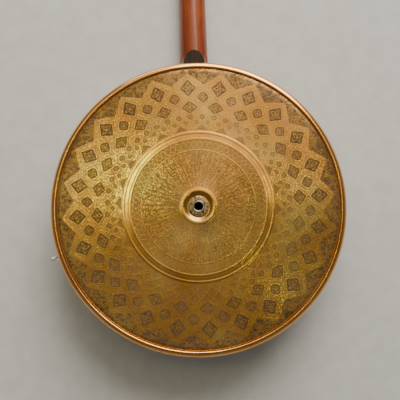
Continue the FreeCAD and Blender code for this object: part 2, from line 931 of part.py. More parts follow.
def tailpiece_bolt():
    seat_y = tailpiece_rear_y() - tailpiece_thickness
    cap_end = on_tailpiece_bolt(seat_y - tailpiece_head_height)
    cap = many_sided(6, tailpiece_nut_width, cap_end, on_tailpiece_bolt(seat_y))
    return joined([tailpiece_bolt_shank(), cap])


def tailpiece_nut():
    end = on_tailpiece_bolt(-rim_inner_radius + tailpiece_nut_thickness)
    body = many_sided(6, tailpiece_nut_width, on_tailpiece_bolt(-rim_radius), end)
    return body.common(rod(rim_inner_radius, rim_front_z, rim_back_z)).cut(tailpiece_bolt_shank())


def string_places(spread):
    """The four strings' places across the instrument, the thickest first."""
    return [spread * (number / 3 - 0.5) for number in range(4)]


def string_route(number):
    """Tailpiece, bridge, nut and peg, in a line of straight runs."""
    radius = string_diameters[number] / 2
    barrel_z = hoop_front_z - tailpiece_thickness / 2 - tailpiece_barrel_diameter / 2
    start_y = tailpiece_front_y() - tailpiece_peg_distance + tailpiece_peg_width
    start = V(string_places(string_spread_at_tailpiece)[number], start_y, barrel_z - radius - notch_clearance)
    over_bridge = V(
        string_places(string_spread_at_bridge)[number], -bridge_offset, crown_z + bridge_notch_depth
    )
    nut_x = string_places(string_spread_at_nut)[number]
    over_nut = neck_frame.multVec(
        V(nut_x, fingerboard_length + nut_thickness / 2, -string_height_over_nut - radius)
    )
    x, y = peg_places[number]
    beside = peg_post_diameter / 2 + peg_gap + radius
    side = beside if x < 0 else -beside
    at_post = peghead_frame.multVec(V(x + side, y, -overlay_thickness - string_wind_height))
    return [start, over_bridge, over_nut, at_post]


def string_shape(number, sides, width):
    """A string in straight runs, which meet in faces square to the neck."""
    points = string_route(number)
    runs = [
        many_sided_face(sides, width, start, V(0, 1, 0)).extrude(end - start)
        for start, end in zip(points, points[1:])
    ]
    return joined(runs)


def string_slots():
    return [
        string_shape(number, 4, string_diameters[number] + 2 * notch_clearance)
        for number in range(len(string_diameters))
    ]


# Every piece under its own name

pieces = {
    "resonator_back": resonator_back(),
    "resonator_side": resonator_side(),
    "resonator_washer": resonator_washer(),
    "resonator_bolt": resonator_bolt(),
    "resonator_post": resonator_post(),
    "strap_pin": strap_pin(),
    "strap_pin_nut": strap_pin_nut(),
    "wood_rim": wood_rim(),
    "tone_ring": tone_ring(),
    "head": head(),
    "flesh_hoop": flesh_hoop(),
    "tension_hoop": tension_hoop(),
    "flange": flange(),
    "bracket_hooks": bracket_hooks(),
    "hook_nuts": hook_nuts(),
    "dowel_stick": dowel_stick(),
    "neck_brace": neck_brace(),
    "brace_screw": brace_screw(),
    "dowel_screw": dowel_screw(),
    "neck": neck(),
    "heel_cap": heel_cap(),
    "fingerboard": fingerboard(),
    "frets": frets(),
    "position_dots": position_dots(),
    "nut": nut(),
    "peghead_overlay": peghead_overlay(),
    "tailpiece": tailpiece(),
    "tailpiece_spacer": tailpiece_spacer(),
    "tailpiece_bolt": tailpiece_bolt(),
    "tailpiece_nut": tailpiece_nut(),
    "bridge": bridge(),
    "bridge_cap": bridge_cap(),
}
for peg in range(len(peg_places)):
    pieces[f"tuner_housing_{peg + 1}"] = tuner_housing(peg)
    pieces[f"tuner_bushing_{peg + 1}"] = tuner_bushing(peg)
    pieces[f"tuner_post_{peg + 1}"] = tuner_post(peg)
    pieces[f"tuner_button_{peg + 1}"] = tuner_button(peg)
    pieces[f"string_{peg + 1}"] = string_shape(peg, 8, string_diameters[peg])

os.makedirs("parts", exist_ok=True)
for name, shape in pieces.items():
    shape.exportStep(f"parts/{name}.step")
    state = "valid" if shape.isValid() else "NOT VALID"
    print(name, len(shape.Solids), "solids", round(shape.Volume), "mm3", state)
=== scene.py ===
import json
import math

import bpy
from mathutils import Matrix, Vector


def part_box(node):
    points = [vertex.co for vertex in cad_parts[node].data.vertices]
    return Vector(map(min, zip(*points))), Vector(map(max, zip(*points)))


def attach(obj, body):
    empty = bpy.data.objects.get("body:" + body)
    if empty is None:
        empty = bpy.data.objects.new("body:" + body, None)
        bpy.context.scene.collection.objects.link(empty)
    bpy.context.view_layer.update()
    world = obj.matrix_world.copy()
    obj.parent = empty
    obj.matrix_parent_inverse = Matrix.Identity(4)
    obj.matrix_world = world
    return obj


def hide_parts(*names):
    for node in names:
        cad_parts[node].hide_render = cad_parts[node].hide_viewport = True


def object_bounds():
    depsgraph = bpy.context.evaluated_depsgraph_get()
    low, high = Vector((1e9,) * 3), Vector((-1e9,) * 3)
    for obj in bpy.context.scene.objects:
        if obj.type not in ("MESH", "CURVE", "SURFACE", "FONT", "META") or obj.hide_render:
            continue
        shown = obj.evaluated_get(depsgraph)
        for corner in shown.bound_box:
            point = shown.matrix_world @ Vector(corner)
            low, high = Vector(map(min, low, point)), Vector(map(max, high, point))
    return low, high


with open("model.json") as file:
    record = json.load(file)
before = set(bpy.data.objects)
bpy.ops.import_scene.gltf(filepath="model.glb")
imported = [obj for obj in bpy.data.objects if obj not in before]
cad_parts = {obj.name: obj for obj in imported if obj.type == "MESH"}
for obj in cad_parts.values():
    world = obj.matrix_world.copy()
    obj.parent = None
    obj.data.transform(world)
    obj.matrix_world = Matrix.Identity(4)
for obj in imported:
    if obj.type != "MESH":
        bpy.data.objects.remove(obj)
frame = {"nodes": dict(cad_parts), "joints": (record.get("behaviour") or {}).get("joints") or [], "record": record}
cad_low, cad_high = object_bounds()

MM = 0.001
BODY = "banjo"

# The places that the dressed pieces share with the CAD nodes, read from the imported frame
side_low, side_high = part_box("resonator_side")
_, back_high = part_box("resonator_back")
washer_low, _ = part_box("resonator_washer")
hoop_low, hoop_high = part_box("tension_hoop")
flange_low, flange_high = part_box("flange")
_, cap_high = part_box("heel_cap")
resonator_radius = side_high.x

# The photograph's frame is 400 pixels across. The camera puts the centre hole at photo_middle
# and makes the resonator's radius photo_radius pixels; photo_lean is how far the neck leans
picture_size = 400
photo_middle = (198.6, 206.2)
photo_radius = 148.9
photo_lean = math.radians(1.8)
camera_distance = 0.75
camera_tilt = math.radians(6.1)


# Building meshes


def link(name, data):
    """A new object in the scene, with the mesh, light or camera that it is given."""
    thing = bpy.data.objects.new(name, data)
    bpy.context.scene.collection.objects.link(thing)
    return thing


def new_piece(name, vertices, faces, material, body=BODY):
    """A smoothly shaded mesh piece that rides on a body."""
    mesh = bpy.data.meshes.new(name)
    mesh.from_pydata(vertices, [], faces)
    mesh.materials.append(material)
    mesh.polygons.foreach_set("use_smooth", [True] * len(mesh.polygons))
    mesh.validate()
    piece = link(name, mesh)
    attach(piece, body)
    return piece


def rows_of(rows, capped=False, closed=False):
    """The vertices and faces of a skin over rings of points, all with as many points."""
    vertices = [point for row in rows for point in row]
    count = len(rows[0])
    faces = []
    for number in range(len(rows) if closed else len(rows) - 1):
        here = number * count
        there = (number + 1) % len(rows) * count
        for step in range(count):
            after = (step + 1) % count
            faces.append((here + step, here + after, there + after, there + step))
    if capped:
        last = (len(rows) - 1) * count
        faces.append(tuple(reversed(range(count))))
        faces.append(tuple(range(last, last + count)))
    return vertices, faces


def gathered(parts):
    """Several sets of vertices and faces as one."""
    vertices, faces = [], []
    for points, sides in parts:
        first = len(vertices)
        vertices += points
        faces += [tuple(first + corner for corner in side) for side in sides]
    return vertices, faces


def moved(part, matrix):
    """A set of vertices and faces, put in its place by a matrix."""
    points, sides = part
    return [tuple(matrix @ Vector(point)) for point in points], sides


def ring_of(radius, z, segments, flats=None, sides=6):
    """A ring of points; with flats, no point is further out than a regular polygon's sides."""
    points = []
    for number in range(segments):
        turn = 2 * math.pi * number / segments
        reach = radius
        if flats:
            off = (turn + math.pi / sides) % (2 * math.pi / sides) - math.pi / sides
            reach = min(radius, flats / math.cos(off))
        points.append((reach * math.cos(turn), reach * math.sin(turn), z))
    return points


def turned(profile, segments, closed=True):
    """An outline of radius, height and, where it has flats, their distance, turned about Z."""
    rows = [ring_of(row[0], row[1], segments, row[2] if len(row) > 2 else None) for row in profile]
    return rows_of(rows, capped=not closed, closed=closed)


def swept(points, sizes, across, sides):
    """A capped tube along points; sizes are its half widths along and square to a direction."""
    rows = []
    for number, (point, (wide, deep)) in enumerate(zip(points, sizes)):
        ahead = points[min(number + 1, len(points) - 1)] - points[max(number - 1, 0)]
        other = ahead.normalized().cross(across).normalized()
        row = []
        for side in range(sides):
            turn = 2 * math.pi * side / sides
            aside = across * (wide * math.cos(turn))
            row.append(tuple(point + aside + other * (deep * math.sin(turn))))
        rows.append(row)
    return rows_of(rows, capped=True)


def in_mm(profile):
    """A profile written in millimetres, in metres."""
    return [tuple(value * MM for value in row) for row in profile]


def spline(points, steps):
    """A smooth line through points of radius and height, by the Catmull-Rom formula."""
    ends = [points[0]] + list(points) + [points[-1]]
    line = []
    for corners in zip(ends, ends[1:], ends[2:], ends[3:]):
        for step in range(steps):
            t = step / steps
            weights = (
                (-t + 2 * t * t - t**3) / 2,
                (2 - 5 * t * t + 3 * t**3) / 2,
                (t + 4 * t * t - 3 * t**3) / 2,
                (t**3 - t * t) / 2,
            )
            radius, height = (
                sum(weight * corner[axis] for weight, corner in zip(weights, corners))
                for axis in (0, 1)
            )
            line.append((radius, height))
    return line + [points[-1]]


def arc(middle, radius, start, end, steps):
    """Points on an arc, from one angle to another in degrees."""
    points = []
    for step in range(steps + 1):
        turn = math.radians(start + (end - start) * step / steps)
        points.append((middle[0] + radius * math.cos(turn), middle[1] + radius * math.sin(turn)))
    return points


def apply_modifiers(piece):
    """Leaves a piece with the mesh that its modifiers make."""
    graph = bpy.context.evaluated_depsgraph_get()
    mesh = bpy.data.meshes.new_from_object(piece.evaluated_get(graph))
    piece.modifiers.clear()
    piece.data = mesh


# Materials: sums in a node tree


class Number:
    """A node tree's value that adds, multiplies and compares like a number."""

    def __init__(self, tree, socket):
        self.tree = tree
        self.socket = socket

    def math(self, operation, *others, clamp=False):
        node = self.tree.nodes.new("ShaderNodeMath")
        node.operation = operation
        node.use_clamp = clamp
        for socket, value in zip(node.inputs, (self, *others)):
            if isinstance(value, Number):
                self.tree.links.new(value.socket, socket)
            else:
                socket.default_value = value
        return Number(self.tree, node.outputs[0])

    def __add__(self, other):
        return self.math("ADD", other)

    def __sub__(self, other):
        return self.math("SUBTRACT", other)

    def __mul__(self, other):
        return self.math("MULTIPLY", other)

    def size(self):
        return self.math("ABSOLUTE")

    def power(self, exponent):
        return self.math("POWER", exponent)

    def most(self, other):
        return self.math("MAXIMUM", other)

    def above(self, edge, soft):
        """0 below an edge and 1 above it, over a soft width."""
        return self.math("MULTIPLY_ADD", 1 / soft, 0.5 - edge / soft, clamp=True)

    def below(self, edge, soft):
        """1 below an edge and 0 above it, over a soft width."""
        return self.math("MULTIPLY_ADD", -1 / soft, 0.5 + edge / soft, clamp=True)

    def near(self, middle, half, soft):
        """1 within a distance of a value, and 0 beyond it."""
        return (self - middle).size().below(half, soft)


def new_material(name, metallic=0.0, roughness=0.5):
    """A material, its node tree and its shader."""
    material = bpy.data.materials.new(name)
    material.use_nodes = True
    shader = material.node_tree.nodes["Principled BSDF"]
    shader.inputs["Metallic"].default_value = metallic
    shader.inputs["Roughness"].default_value = roughness
    return material, material.node_tree, shader


def coordinates(tree):
    """The place on the piece, in metres of the row frame."""
    return tree.nodes.new("ShaderNodeTexCoord").outputs["Object"]


def split(tree, place):
    """A place's X, Y and Z."""
    node = tree.nodes.new("ShaderNodeSeparateXYZ")
    tree.links.new(place, node.inputs[0])
    return [Number(tree, output) for output in node.outputs]


def vector(tree, *values):
    """A place made of three values, each a Number or a plain number."""
    node = tree.nodes.new("ShaderNodeCombineXYZ")
    for socket, value in zip(node.inputs, values):
        if isinstance(value, Number):
            tree.links.new(value.socket, socket)
        else:
            socket.default_value = value
    return node.outputs[0]


def stretched(tree, place, scale):
    """A place with each of its values multiplied by its own share."""
    node = tree.nodes.new("ShaderNodeMapping")
    tree.links.new(place, node.inputs["Vector"])
    node.inputs["Scale"].default_value = scale
    return node.outputs[0]


def noise(tree, place, scale, detail=3.0, roughness=0.5, distortion=0.0):
    """Soft clouds of values round a half."""
    node = tree.nodes.new("ShaderNodeTexNoise")
    tree.links.new(place, node.inputs["Vector"])
    node.inputs["Scale"].default_value = scale
    node.inputs["Detail"].default_value = detail
    node.inputs["Roughness"].default_value = roughness
    node.inputs["Distortion"].default_value = distortion
    return Number(tree, node.outputs[0])


def ramp(tree, value, *stops):
    """A colour that changes with a value: stops are pairs of place and colour."""
    node = tree.nodes.new("ShaderNodeValToRGB")
    tree.links.new(value.socket, node.inputs[0])
    elements = node.color_ramp.elements
    while len(elements) < len(stops):
        elements.new(0.5)
    for element, (place, colour) in zip(elements, stops):
        element.position = place
        element.color = (*colour, 1.0)
    return node.outputs[0]


def mixed(tree, share, first, second):
    """A colour between two, by a share; each is a socket or three numbers."""
    node = tree.nodes.new("ShaderNodeMix")
    node.data_type = "RGBA"
    tree.links.new(share.socket, node.inputs[0])
    # Sockets 6 and 7 take the two colours and socket 2 gives the mixed one
    for socket, colour in zip((node.inputs[6], node.inputs[7]), (first, second)):
        if isinstance(colour, tuple):
            socket.default_value = (*colour, 1.0)
        else:
            tree.links.new(colour, socket)
    return node.outputs[2]


def set_bump(tree, shader, height, depth, strength):
    """Raises a surface by a height from 0 to 1, over a depth in mm."""
    node = tree.nodes.new("ShaderNodeBump")
    node.inputs["Strength"].default_value = strength
    node.inputs["Distance"].default_value = depth * MM
    tree.links.new(height.socket, node.inputs["Height"])
    tree.links.new(node.outputs[0], shader.inputs["Normal"])


def set_colour(tree, shader, colour):
    tree.links.new(colour, shader.inputs["Base Color"])


def set_roughness(tree, shader, value):
    tree.links.new(value.socket, shader.inputs["Roughness"])


# Brass of the back: spun, engraved and tarnished

# The pattern's figures repeat round the back, on its spokes and between them; angles in degrees
spoke_count = 24
spoke_angle = 3.4
between_angle = 10.9

# Rows of lozenges: how many, first angle, middle radius, half height and half width in mm,
# roundness and darkness
lozenge_rows = [
    (spoke_count, spoke_angle, 139.1, 9.9, 9.0, 1.08, 1.0),
    (spoke_count, between_angle, 128.0, 6.3, 6.5, 1.4, 0.95),
    (spoke_count, spoke_angle, 116.2, 7.4, 9.4, 1.1, 0.95),
    (2 * spoke_count, spoke_angle, 104.6, 3.3, 3.6, 1.5, 0.85),
    (2 * spoke_count, 7.15, 98.2, 2.7, 2.9, 1.5, 0.8),
]

# The other figures from the edge inwards, in mm
edge_line_radius = 161.6
border_radius = 146.6
border_teeth = 6.8
tooth_half_width = 18.0
triangle_foot = 88.0
triangle_height = 8.0
triangle_half_width = 8.5
double_ring_radii = (86.2, 79.0)
guilloche_middle = 72.0
guilloche_half_height = 5.6
guilloche_swing = 4.2
guilloche_waves = 36.0
inner_ring_radius = 65.6
petal_count = 20
ray_count = 60
plain_radius = 22.0


def polar(tree):
    """Radius in mm and angle in radians about the row's Z axis."""
    x, y, _ = split(tree, coordinates(tree))
    radius = (x * x + y * y).power(0.5) * (1 / MM)
    return radius, y.math("ARCTAN2", x)


def beside(radius, angle, count, start):
    """Distance in mm round from the nearest of so many evenly spread places."""
    pitch = 2 * math.pi / count
    turns = (angle * (1 / pitch) + (0.5 - math.radians(start) / pitch)).math("FRACT") - 0.5
    return turns * radius * pitch


def lozenge(radius, angle, count, start, middle, half_height, half_width, roundness):
    """Distance in mm from the edge of a row's lozenges, negative inside, and their florets."""
    across = beside(radius, angle, count, start)
    along = radius - middle
    wide = (across.size() * (1 / half_width)).power(roundness)
    tall = (along.size() * (1 / half_height)).power(roundness)
    reach = (wide + tall).power(1 / roundness)
    depth = 1 / math.hypot(1 / half_width, 1 / half_height)
    heading = along.math("ARCTAN2", across)
    petal = (heading * 4.0).math("COSINE") * 0.17 + 0.5
    floret = reach.near(petal, 0.07, 0.06).most(reach.below(0.16, 0.08))
    return (reach - 1.0) * depth, floret


def stippled_ground(tree, place):
    """The ground of the dark figures: 1, but less on fine curls and grains."""
    curls = noise(tree, place, 330.0, 2.0, 0.5, 0.8).near(0.5, 0.04, 0.05)
    grains = noise(tree, place, 760.0, 1.0, 0.5).above(0.56, 0.12)
    return curls.most(grains * 0.7) * -0.26 + 1.0


def lozenge_marks(radius, angle, row, ground):
    """A row of lozenges with florets and rims, each inside two fine lines."""
    *shape, darkness = row
    edge, floret = lozenge(radius, angle, *shape)
    inside = edge.below(0.0, 0.6) * (ground - floret * 0.5)
    rim = edge.near(-0.4, 0.45, 0.35)
    fine_lines = (edge.near(1.9, 0.28, 0.3) * 0.75).most(edge.near(3.9, 0.2, 0.3) * 0.4)
    return inside.most(rim * 0.95).most(fine_lines) * darkness


def border_marks(tree, place, radius, angle, ground):
    """The border's leaves, whose inner edge is a zigzag with two fine lines beside it."""
    teeth = beside(radius, angle, spoke_count, spoke_angle).size() * (1 / tooth_half_width)
    zigzag = radius + teeth * (border_teeth * 2) - border_teeth
    leaves = noise(tree, place, 150.0, 2.0, 0.6, 0.9).near(0.5, 0.045, 0.05)
    leafy_ground = ground * (leaves * -0.32 + 1.0)
    band = zigzag.above(border_radius + 3.6, 0.5) * radius.below(edge_line_radius, 0.6)
    outer_line = zigzag.near(border_radius + 1.6, 0.25, 0.3)
    inner_line = zigzag.near(border_radius - 0.6, 0.2, 0.3)
    return (band * leafy_ground).most(outer_line.most(inner_line) * 0.45)


def triangle_marks(radius, angle, ground):
    """The small triangles that stand on the double ring."""
    across = beside(radius, angle, spoke_count, between_angle).size()
    reach = across * (1 / triangle_half_width) + (radius - triangle_foot) * (1 / triangle_height)
    return reach.below(1.0, 0.1) * radius.above(triangle_foot + 0.8, 0.4) * ground * 0.8


def guilloche_marks(radius, angle, ground):
    """A band with two plaited waves left bright in it."""
    wave = (angle * guilloche_waves).math("SINE") * guilloche_swing
    offset = radius - guilloche_middle
    strands = offset.near(wave, 0.55, 0.5).most((offset + wave).size().below(0.55, 0.5))
    band = offset.near(0.0, guilloche_half_height, 0.4)
    return band * (strands * -0.45 + 0.72) * ground


def inner_marks(tree, radius, angle):
    """Petals, rays and loose twirls between the inner ring and the plain middle."""
    inner = radius.below(inner_ring_radius, 0.5) * radius.above(plain_radius, 1.5)
    sway = (radius * 0.35).math("SINE") * 0.9
    petals = beside(radius, angle, petal_count, 0.0).size() + sway
    rays = beside(radius, angle, ray_count, 3.0).size().below(0.32, 0.4)
    leaf_lines = petals.near(2.6, 0.3, 0.4).most(rays)
    twirl_place = vector(tree, angle * 9.0, radius * 0.16, 0.0)
    twirls = noise(tree, twirl_place, 1.6, 3.0, 0.6, 1.4).near(0.5, 0.04, 0.04)
    return inner * (twirls.most(leaf_lines * 0.8) * 0.72 + 0.16)


def ring_lines(radius):
    """The fine lines beside the raised rings."""
    lines = radius.near(inner_ring_radius - 1.0, 0.2, 0.3) * 0.6
    for ring in double_ring_radii:
        for offset in (1.7, -1.7):
            lines = lines.most(radius.near(ring + offset, 0.25, 0.3))
    return lines * 0.6


def engraving(tree, radius, angle):
    """How dark each place is, from 0 on plain metal to 1, and how deep it is cut."""
    place = coordinates(tree)
    ground = stippled_ground(tree, place)
    marks = [lozenge_marks(radius, angle, row, ground) for row in lozenge_rows]
    marks += [
        border_marks(tree, place, radius, angle, ground),
        triangle_marks(radius, angle, ground),
        guilloche_marks(radius, angle, ground),
        inner_marks(tree, radius, angle),
        ring_lines(radius),
        radius.above(edge_line_radius + 0.6, 0.5) * 0.9,
    ]
    cut = marks[0]
    for mark in marks[1:]:
        cut = cut.most(mark)
    hatch = (radius * 3.1).math("SINE") * (angle * 330.0).math("SINE")
    specks = noise(tree, place, 400.0, 2.0, 0.7).above(0.53, 0.2)
    outer_field = radius.above(double_ring_radii[0] + 2.0, 1.0)
    tarnish = outer_field * hatch.above(0.2, 0.5).most(specks) * 0.52
    return cut.most(tarnish).math("MULTIPLY", 1.0, clamp=True), cut


def spun_tangent(tree, shader, amount):
    """Draws a metal's shine out across fine lines that run round Z."""
    quarter_turn = 0.25
    shader.inputs["Anisotropic"].default_value = amount
    shader.inputs["Anisotropic Rotation"].default_value = quarter_turn
    tangent = tree.nodes.new("ShaderNodeTangent")
    tangent.direction_type = "RADIAL"
    tangent.axis = "Z"
    tree.links.new(tangent.outputs[0], shader.inputs["Tangent"])


def engraved_brass():
    """Orange brass, tarnished in patches, with painted shade in the centre dimple, and dark where it is engraved.
    """
    material, tree, shader = new_material("engraved brass", metallic=1.0)
    radius, angle = polar(tree)
    place = coordinates(tree)
    ink, cut = engraving(tree, radius, angle)
    cloud = noise(tree, place, 13.0, 4.0, 0.6)
    blush = noise(tree, place, 34.0, 3.0, 0.55, 0.4)
    spun_lines = noise(tree, vector(tree, radius * 2.4, angle * 0.6, 0.0), 1.0, 3.0, 0.7)
    plain = ramp(
        tree,
        cloud,
        (0.30, (0.63, 0.262, 0.040)),
        (0.50, (0.82, 0.408, 0.078)),
        (0.68, (0.92, 0.560, 0.145)),
    )
    plain = mixed(tree, blush.above(0.60, 0.16) * 0.45, plain, (0.52, 0.22, 0.08))
    blots = noise(tree, place, 24.0, 2.0, 0.5, 0.5).above(0.54, 0.18)
    patches = blots * (radius.below(75.0, 30.0) * 0.26 + 0.08)
    # Random tarnish blots, plus painted shade that darkens the dimple and its ridge inside 18 mm
    tarnish_and_dimple_shade = patches.most(radius.below(18.0, 5.0) * 0.45)
    plain = mixed(tree, tarnish_and_dimple_shade, plain, (0.22, 0.13, 0.05))
    dark = ramp(tree, blush, (0.35, (0.040, 0.030, 0.022)), (0.65, (0.084, 0.058, 0.040)))
    worn = ink * (cloud.below(0.60, 0.4) * 0.10 + 0.90)
    set_colour(tree, shader, mixed(tree, worn, plain, dark))
    tree.links.new((worn * -0.5 + 1.0).socket, shader.inputs["Metallic"])
    shader.inputs["Specular IOR Level"].default_value = 0.15
    middle = radius.below(40.0, 12.0)
    rough = ink * 0.22 + spun_lines * 0.08 + blush * 0.06 + middle * 0.06 + 0.09
    set_roughness(tree, shader, rough)
    set_bump(tree, shader, cut * -1.0 + spun_lines * 0.05, 0.12, 0.25)
    spun_tangent(tree, shader, 0.6)
    return material


def washer_brass():
    """The washer's own brass, with curls cut into it."""
    material, tree, shader = new_material("washer brass", metallic=1.0)
    radius, angle = polar(tree)
    place = coordinates(tree)
    curl_place = vector(tree, angle * 2.0, radius * 0.34, 0.0)
    curls = noise(tree, curl_place, 1.3, 1.0, 0.5, 1.2).near(0.5, 0.06, 0.06)
    ink = curls * radius.above(7.2, 0.6)
    stain = noise(tree, place, 210.0, 4.0, 0.6)
    colour = ramp(tree, stain, (0.35, (0.30, 0.17, 0.06)), (0.60, (0.68, 0.46, 0.21)))
    set_colour(tree, shader, mixed(tree, ink, colour, (0.035, 0.026, 0.015)))
    set_roughness(tree, shader, stain * 0.2 + ink * 0.2 + 0.2)
    set_bump(tree, shader, ink * -1.0 + stain * 0.3, 0.2, 0.6)
    return material


def spun_brass():
    """Polished brass whose fine lines run round the pot: orange on the bead, dull on the wall."""
    material, tree, shader = new_material("spun brass", metallic=1.0)
    radius, angle = polar(tree)
    place = coordinates(tree)
    _, _, z = split(tree, place)
    bead_foot = -6 * MM
    lines = noise(tree, vector(tree, radius * 1.6, angle * 0.8, z * 1600.0), 1.0, 3.0, 0.6)
    cloud = noise(tree, place, 22.0, 4.0, 0.6)
    spots = noise(tree, place, 170.0, 3.0, 0.6)
    colour = ramp(
        tree,
        cloud,
        (0.32, (0.68, 0.30, 0.09)),
        (0.52, (0.86, 0.48, 0.17)),
        (0.70, (0.93, 0.64, 0.30)),
    )
    colour = mixed(tree, spots.above(0.66, 0.1) * 0.4, colour, (0.26, 0.12, 0.05))
    colour = mixed(tree, z.above(bead_foot, 2 * MM) * 0.55, colour, (0.90, 0.38, 0.075))
    patina = z.below(bead_foot - 2 * MM, 5 * MM) * (cloud.below(0.62, 0.3) * 0.35 + 0.30)
    set_colour(tree, shader, mixed(tree, patina, colour, (0.36, 0.17, 0.045)))
    rough = lines * 0.14 + cloud * 0.12 + spots * 0.08 + 0.10
    set_roughness(tree, shader, rough * (z.below(bead_foot, 2 * MM) * 0.45 + 0.55))
    set_bump(tree, shader, lines, 0.06, 0.35)
    spun_tangent(tree, shader, 0.3)
    return material


def plated_steel(name="nickel plate", colour=(0.78, 0.76, 0.72)):
    """Plated or polished metal of one colour, stained and finely pitted."""
    material, tree, shader = new_material(name, metallic=1.0)
    place = coordinates(tree)
    stain = noise(tree, place, 120.0, 4.0, 0.65)
    pits = noise(tree, place, 900.0, 2.0, 0.5)
    dull = tuple(share * 0.72 for share in colour)
    set_colour(tree, shader, ramp(tree, stain, (0.35, dull), (0.58, colour)))
    set_roughness(tree, shader, stain * 0.22 + pits * 0.08 + 0.10)
    set_bump(tree, shader, pits, 0.03, 0.3)
    return material


def hole_shade_steel():
    """Blackened steel down in the hole, its colour near black as painted shade for the dark bore."""
    material, tree, shader = new_material("blackened steel painted as hole shade", metallic=0.6, roughness=0.7)
    stain = noise(tree, coordinates(tree), 300.0, 3.0, 0.6)
    # Near-black tones with a faint blue tint stand in for the shade down the hole
    shades = (0.35, (0.004, 0.004, 0.005)), (0.65, (0.014, 0.015, 0.020))
    set_colour(tree, shader, ramp(tree, stain, *shades))
    set_bump(tree, shader, stain, 0.1, 0.4)
    return material


def wound_wire():
    """A string's steel core under its fine winding."""
    material, tree, shader = new_material("wound wire", metallic=1.0)
    _, y, _ = split(tree, coordinates(tree))
    radians_per_metre = 20000.0
    turns = (y * radians_per_metre).math("SINE")
    stain = noise(tree, coordinates(tree), 200.0, 3.0)
    shades = (0.35, (0.42, 0.31, 0.19)), (0.62, (0.62, 0.50, 0.34))
    set_colour(tree, shader, ramp(tree, stain, *shades))
    set_roughness(tree, shader, stain * 0.2 + 0.2)
    set_bump(tree, shader, turns, 0.04, 0.5)
    return material


def wood(name, light, dark, roughness, coat, shine=0.5, bent=False):
    """Wood with streaks along Y, or round Z if bent, pores and, if lacquered, a clear coat."""
    material, tree, shader = new_material(name)
    if bent:
        radius, angle = polar(tree)
        _, _, z = split(tree, coordinates(tree))
        place = vector(tree, angle * 1.3, radius * 0.26, z * 260.0)
    else:
        place = stretched(tree, coordinates(tree), (260.0, 9.0, 260.0))
    streaks = noise(tree, place, 0.45, 5.0, 0.62, 0.6)
    pores = noise(tree, place, 4.0, 2.0, 0.5)
    cloud = noise(tree, coordinates(tree), 14.0, 3.0, 0.5)
    colour = ramp(tree, streaks * 0.75 + cloud * 0.25, (0.34, dark), (0.66, light))
    pore_lines = pores.above(0.63, 0.08)
    pore_colour = tuple(share * 0.45 for share in dark)
    set_colour(tree, shader, mixed(tree, pore_lines * 0.5, colour, pore_colour))
    set_roughness(tree, shader, streaks * 0.12 + roughness)
    set_bump(tree, shader, pore_lines * -1.0 + streaks * 0.4, 0.05, 0.4)
    shader.inputs["Specular IOR Level"].default_value = shine
    shader.inputs["Coat Weight"].default_value = coat
    shader.inputs["Coat Roughness"].default_value = 0.08
    return material


def skin():
    """The head's thin pale skin."""
    material, tree, shader = new_material("stretched skin", roughness=0.6)
    place = coordinates(tree)
    cloud = noise(tree, place, 18.0, 5.0, 0.6)
    fibres = noise(tree, stretched(tree, place, (120.0, 30.0, 60.0)), 1.0, 4.0, 0.6)
    shades = (0.35, (0.72, 0.62, 0.44)), (0.60, (0.86, 0.80, 0.66))
    set_colour(tree, shader, ramp(tree, cloud * 0.6 + fibres * 0.4, *shades))
    set_roughness(tree, shader, fibres * 0.25 + 0.4)
    set_bump(tree, shader, fibres, 0.08, 0.4)
    shader.inputs["Subsurface Weight"].default_value = 0.08
    return material


def pearl():
    """Swirling mother-of-pearl under a clear coat."""
    material, tree, shader = new_material("pearl", roughness=0.2)
    place = coordinates(tree)
    swirl = noise(tree, place, 160.0, 4.0, 0.6, 1.6)
    colour = ramp(
        tree,
        swirl,
        (0.35, (0.66, 0.62, 0.52)),
        (0.50, (0.86, 0.84, 0.76)),
        (0.64, (0.74, 0.80, 0.80)),
    )
    set_colour(tree, shader, colour)
    set_roughness(tree, shader, swirl * 0.2 + 0.1)
    set_bump(tree, shader, swirl, 0.03, 0.3)
    shader.inputs["Coat Weight"].default_value = 0.6
    return material


def bone():
    """Yellowed bone."""
    material, tree, shader = new_material("bone", roughness=0.4)
    place = coordinates(tree)
    cloud = noise(tree, place, 150.0, 4.0, 0.6)
    shades = (0.35, (0.72, 0.64, 0.48)), (0.62, (0.85, 0.80, 0.66))
    set_colour(tree, shader, ramp(tree, cloud, *shades))
    set_roughness(tree, shader, cloud * 0.25 + 0.25)
    set_bump(tree, shader, cloud, 0.04, 0.3)
    return material


materials = {
    "engraved_brass": engraved_brass(),
    "spun_brass": spun_brass(),
    "plated_steel": plated_steel(),
    "bell_brass": plated_steel("bell brass", (0.70, 0.52, 0.24)),
    "mahogany": wood("mahogany", (0.39, 0.075, 0.010), (0.085, 0.011, 0.003), 0.28, 0.25, 0.35),
    "maple": wood("maple", (0.62, 0.40, 0.20), (0.44, 0.25, 0.11), 0.42, 0.2),
    "ebony": wood("ebony", (0.040, 0.022, 0.013), (0.011, 0.007, 0.005), 0.50, 0.0, 0.15),
    "skin": skin(),
    "bone": bone(),
    "pearl": pearl(),
    "fret_wire": plated_steel("fret wire", (0.74, 0.70, 0.60)),
    "string_wire": plated_steel("string wire", (0.70, 0.68, 0.64)),
}
own_materials = {
    "wood_rim": wood("bent maple", (0.60, 0.38, 0.19), (0.40, 0.22, 0.09), 0.36, 0.3, bent=True),
    "resonator_post": hole_shade_steel(),
    "resonator_washer": washer_brass(),
    "resonator_bolt": plated_steel("worn nickel", (0.52, 0.47, 0.40)),
    "strap_pin": plated_steel("polished nickel", (0.95, 0.94, 0.92)),
}
wound = wound_wire()

# CAD pieces that show with their edges eased, and by how much
eased_edges = {
    "heel_cap": 0.5 * MM,
    "fingerboard": 0.5 * MM,
    "nut": 0.4 * MM,
    "peghead_overlay": 0.4 * MM,
    "bridge": 0.5 * MM,
    "bridge_cap": 0.25 * MM,
    "tailpiece": 0.35 * MM,
    "flange": 0.35 * MM,
    "frets": 0.3 * MM,
    "tailpiece_nut": 0.6 * MM,
}


